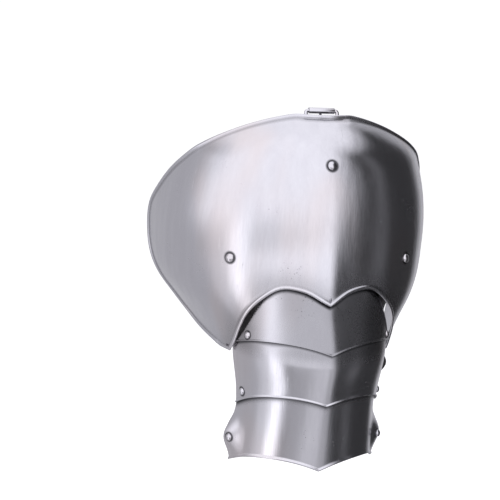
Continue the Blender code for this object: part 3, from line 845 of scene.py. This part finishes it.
buckle = {
    "bar": (0.0, 0.039444, 0.026101),
    "lean": 66.0,
    "wire": 0.0017,
    "width": 0.030,
    "length": 0.0165,
    "corner": 0.0022,
    "rollerRadius": 0.0028,
    "rollerBore": 0.0022,
    "rollerEndGap": 0.0005,
    "rollerRound": 0.00022,
    "tongueWidth": 0.0036,
    "tongueThickness": 0.0018,
    "tongueTaper": 0.35,
    "tongueRound": 0.35,
    "gap": 0.0003,
    "sides": 40,
}
barAt = Vector(buckle["bar"])
leanAngle = math.radians(buckle["lean"])
upwards = Vector((0.0, math.cos(leanAngle), math.sin(leanAngle)))
behind = Vector((0.0, upwards.z, -upwards.y))
sideways = Vector((1.0, 0.0, 0.0))
rollerAt = barAt + upwards * buckle["length"]


def circleOf(middle, first, second, radius, count):
    turns = [math.tau * k / count for k in range(count)]
    return [middle + (first * math.cos(a) + second * math.sin(a)) * radius for a in turns]


def buckleTube(name, rings):
    # a tube that closes on itself, through rings of points
    bm = bmesh.new()
    made = [[bm.verts.new(at) for at in ring] for ring in rings]
    fillRows(bm, made + made[:1], closed=True)
    bmesh.ops.recalc_face_normals(bm, faces=bm.faces[:])
    return addPiece(name, bm, buckleSteel)


def makeFrame():
    rings = []
    corners = ((1, 0), (1, 1), (-1, 1), (-1, 0))
    for index, (side, end) in enumerate(corners):
        middle = (barAt + sideways * side * (buckle["width"] / 2 - buckle["corner"])
                  + upwards * (buckle["length"] - buckle["corner"] if end else buckle["corner"]))
        for step in range(13):
            a = math.radians(-90 + 90 * index + 7.5 * step)
            outward = sideways * math.cos(a) + upwards * math.sin(a)
            rings.append(circleOf(middle + outward * buckle["corner"], outward, behind, buckle["wire"],
                                  buckle["sides"]))
    return buckleTube("buckleWire", rings)


def makeRoller():
    half = buckle["width"] / 2 - buckle["corner"] - buckle["rollerEndGap"]
    outer, bore, soft = buckle["rollerRadius"], buckle["rollerBore"], buckle["rollerRound"]
    profile = [(bore, half - soft), (bore + soft * 0.3, half - soft * 0.3), (bore + soft, half),
               (outer - soft, half), (outer - soft * 0.3, half - soft * 0.3), (outer, half - soft)]
    profile += [(radius, -x) for radius, x in profile[::-1]]
    return buckleTube("buckleRoller", [circleOf(rollerAt + sideways * x, upwards, behind, radius,
                                                buckle["sides"] * 2) for radius, x in profile])


def makeTongue():
    hook = buckle["wire"] + buckle["gap"] + buckle["tongueThickness"] / 2
    line = []
    for i in range(29):
        a = math.radians(300 - 210 * i / 28)
        line.append(barAt + (upwards * math.cos(a) + behind * math.sin(a)) * hook)
    tip = rollerAt + upwards * buckle["rollerRadius"]
    tip += behind * (buckle["rollerRadius"] + buckle["gap"] * 1.5 + buckle["tongueThickness"] / 2)
    line += [line[-1].lerp(tip, share) for share in (0.25, 0.5, 0.75, 1.0)]

    def lineOf(side, along):
        i = min(round(along * (len(line) - 1)), len(line) - 1)
        forward = (line[min(i + 1, len(line) - 1)] - line[max(i - 1, 0)]).normalized()
        inwards = sideways.cross(forward)
        half = buckle["tongueWidth"] / 2 * (1 - buckle["tongueTaper"] * smoothStep(0.85, 1.0, along))
        return line[i] + sideways * side * half - inwards * buckle["tongueThickness"] / 2, inwards

    return softBand("buckleTongue", lineOf, len(line) - 1, 6, buckle["tongueThickness"],
                    buckle["tongueRound"], buckleSteel)


placePiece(makeFrame(), "buckle_steel", "buckle", "buckle_frame")
placePiece(makeTongue(), "buckle_steel", "buckle", "buckle_tongue")
placePiece(makeRoller(), "buckle_steel", "roller", "buckle_roller")
print("buckle made")


# the collar strap keeps its CAD shape, with its own finish

for slot in nodes["collar_strap"].material_slots:
    slot.material = strapBlack
print("strap dressed")


# camera at the photograph's angle and distance

shot = {
    "azimuth": -18.5,
    "elevation": 11.0,
    "roll": 4.75,
    "distance": 1.4,
    "width": 0.45,
    "aimRight": -0.0744,
    "aimUp": -0.0765,
    "sensor": 36.0,
    "farthest": 50.0,
}


def placeCamera():
    a, e, r = (math.radians(shot[key]) for key in ("azimuth", "elevation", "roll"))
    forward = Vector((-math.sin(a) * math.cos(e), math.cos(a) * math.cos(e), -math.sin(e)))
    right = Vector((math.cos(a), math.sin(a), 0.0))
    up = right.cross(forward).normalized()
    imageRight = right * math.cos(r) + up * math.sin(r)
    imageUp = up * math.cos(r) - right * math.sin(r)
    eye = forward * -shot["distance"]
    aim = (imageRight * shot["aimRight"] + imageUp * shot["aimUp"] - eye).normalized()
    side = aim.cross(imageUp).normalized()
    upright = side.cross(aim)
    camera = bpy.data.objects.new("camera", bpy.data.cameras.new("camera"))
    camera.data.lens = shot["sensor"] * shot["distance"] / shot["width"]
    camera.data.sensor_width = shot["sensor"]
    camera.data.clip_end = shot["farthest"]
    bpy.context.collection.objects.link(camera)
    turn = Matrix((side, upright, -aim)).transposed().to_4x4()
    camera.matrix_world = Matrix.Translation(eye) @ turn
    bpy.context.scene.camera = camera


placeCamera()


# studio: pale floor, soft lamps, and a dome of softboxes and dark flags that the camera doesn't see

studio = {
    "floorDrop": 0.75,
    "floorSize": 60.0,
    "floor": (0.92, 0.92, 0.92, 1),
    "floorGlow": 0.55,
    # what the camera sees behind the piece, and the light outside the dome
    "seen": (1.0, 1.0, 1.0, 1),
    "outside": (0.6, 0.6, 0.62, 1),
    "domeRadius": 3.0,
    "domeTint": (0.985, 0.98, 1.03),
    # lamps: name, azimuth, elevation, distance, width, height, brightness
    "lamps": [("keySoft", -40, 50, 1.8, 1.6, 1.2, 0.5), ("fillSoft", 150, 30, 1.8, 1.4, 1.4, 0.4)],
    "roomLevel": 0.60,
    # softboxes and dark flags round the piece, each laid over those before it:
    # name, azimuth, elevation, half width, half height, soft edge across, soft edge up, brightness
    "softboxes": [
        ("overhead", 0, 90, 180, 37, 1, 26, 1.40),
        ("front wall", -38, 50, 50, 56, 34, 6, 1.48),
        ("low front", -22, -60, 22, 46, 8, 5, 0.55),
        ("low centre", -4, -60, 8, 46, 14, 5, 0.85),
        ("low left", -78, -60, 6, 46, 14, 5, 0.92),
        ("narrow strip", -61, -60, 4, 50, 9, 5, 2.15),
        ("strip's shade", -44, -60, 2, 46, 6, 5, 0.38),
        ("right flag", 84, -10, 36, 52, 17, 22, 0.05),
        ("dim strip", 65, 5, 2, 30, 8, 15, 0.17),
    ],
}


def domeColour(azimuth, elevation):
    level = studio["roomLevel"]
    for name, middle, height, halfWide, halfHigh, softWide, softHigh, brightness in studio["softboxes"]:
        aside = abs((azimuth - middle + 180) % 360 - 180)
        share = 1 - smoothStep(halfWide, halfWide + softWide, aside)
        share *= 1 - smoothStep(halfHigh, halfHigh + softHigh, abs(elevation - height))
        level += (brightness - level) * share
    return [*(level * tint for tint in studio["domeTint"]), 1.0]


def makeDome():
    # a wide shell round the piece; azimuth 0 is in front of it, positive is towards the wearer's back
    bm = bmesh.new()
    bmesh.ops.create_uvsphere(bm, u_segments=120, v_segments=60, radius=studio["domeRadius"])
    glow = bm.verts.layers.float_color.new("glow")
    for vert in bm.verts:
        way = vert.co.normalized()
        azimuth = math.degrees(math.atan2(way.x, -way.y))
        vert[glow] = domeColour(azimuth, math.degrees(math.asin(min(max(way.z, -1.0), 1.0))))
    s = Shader("dome light")
    seen = s.node("ShaderNodeAttribute", {"attribute_name": "glow"})[0]
    lit = s.finish(Base_Color=(0.0, 0.0, 0.0, 1), Specular_IOR_Level=0.0, Emission_Color=seen,
                   Emission_Strength=1.0)
    lit.cycles.emission_sampling = "NONE"
    dome = addPiece("lightDome", bm, lit)
    dome.visible_camera = False
    dome.visible_shadow = False


def softLamp(name, azimuth, elevation, distance, width, height, brightness):
    a, e = math.radians(azimuth), math.radians(elevation)
    towards = Vector((math.sin(a) * math.cos(e), -math.cos(a) * math.cos(e), math.sin(e)))
    lamp = bpy.data.lights.new(name, "AREA")
    lamp.shape = "RECTANGLE"
    lamp.size, lamp.size_y = width, height
    lamp.energy = brightness * math.pi * width * height
    light = bpy.data.objects.new(name, lamp)
    light.location = towards * distance
    light.rotation_euler = towards.to_track_quat("Z", "Y").to_euler()
    light.visible_camera = False
    light.visible_glossy = False
    bpy.context.collection.objects.link(light)


def makeStudio():
    low = cadBox[0][2] - studio["floorDrop"]
    half = studio["floorSize"] / 2
    bm = bmesh.new()
    bm.faces.new([bm.verts.new((x * half, y * half, low)) for x, y in ((-1, -1), (1, -1), (1, 1), (-1, 1))])
    matt = Shader("pale floor").finish(Base_Color=studio["floor"], Roughness=0.9,
                                       Emission_Color=studio["floor"], Emission_Strength=studio["floorGlow"])
    floor = addPiece("floor", bm, matt)
    floor.visible_glossy = False
    floor.visible_diffuse = False
    world = bpy.data.worlds.new("studio")
    bpy.context.scene.world = world
    world.use_nodes = True
    tree = world.node_tree
    back = tree.nodes["Background"]
    back.inputs["Color"].default_value = studio["outside"]
    white = tree.nodes.new("ShaderNodeBackground")
    white.inputs["Color"].default_value = studio["seen"]
    mix = tree.nodes.new("ShaderNodeMixShader")
    path = tree.nodes.new("ShaderNodeLightPath")
    tree.links.new(path.outputs["Is Camera Ray"], mix.inputs[0])
    tree.links.new(back.outputs[0], mix.inputs[1])
    tree.links.new(white.outputs[0], mix.inputs[2])
    tree.links.new(mix.outputs[0], tree.nodes["World Output"].inputs["Surface"])
    for lamp in studio["lamps"]:
        softLamp(*lamp)
    makeDome()


makeStudio()
bpy.context.scene.view_settings.view_transform = "Standard"
print("camera and studio made")
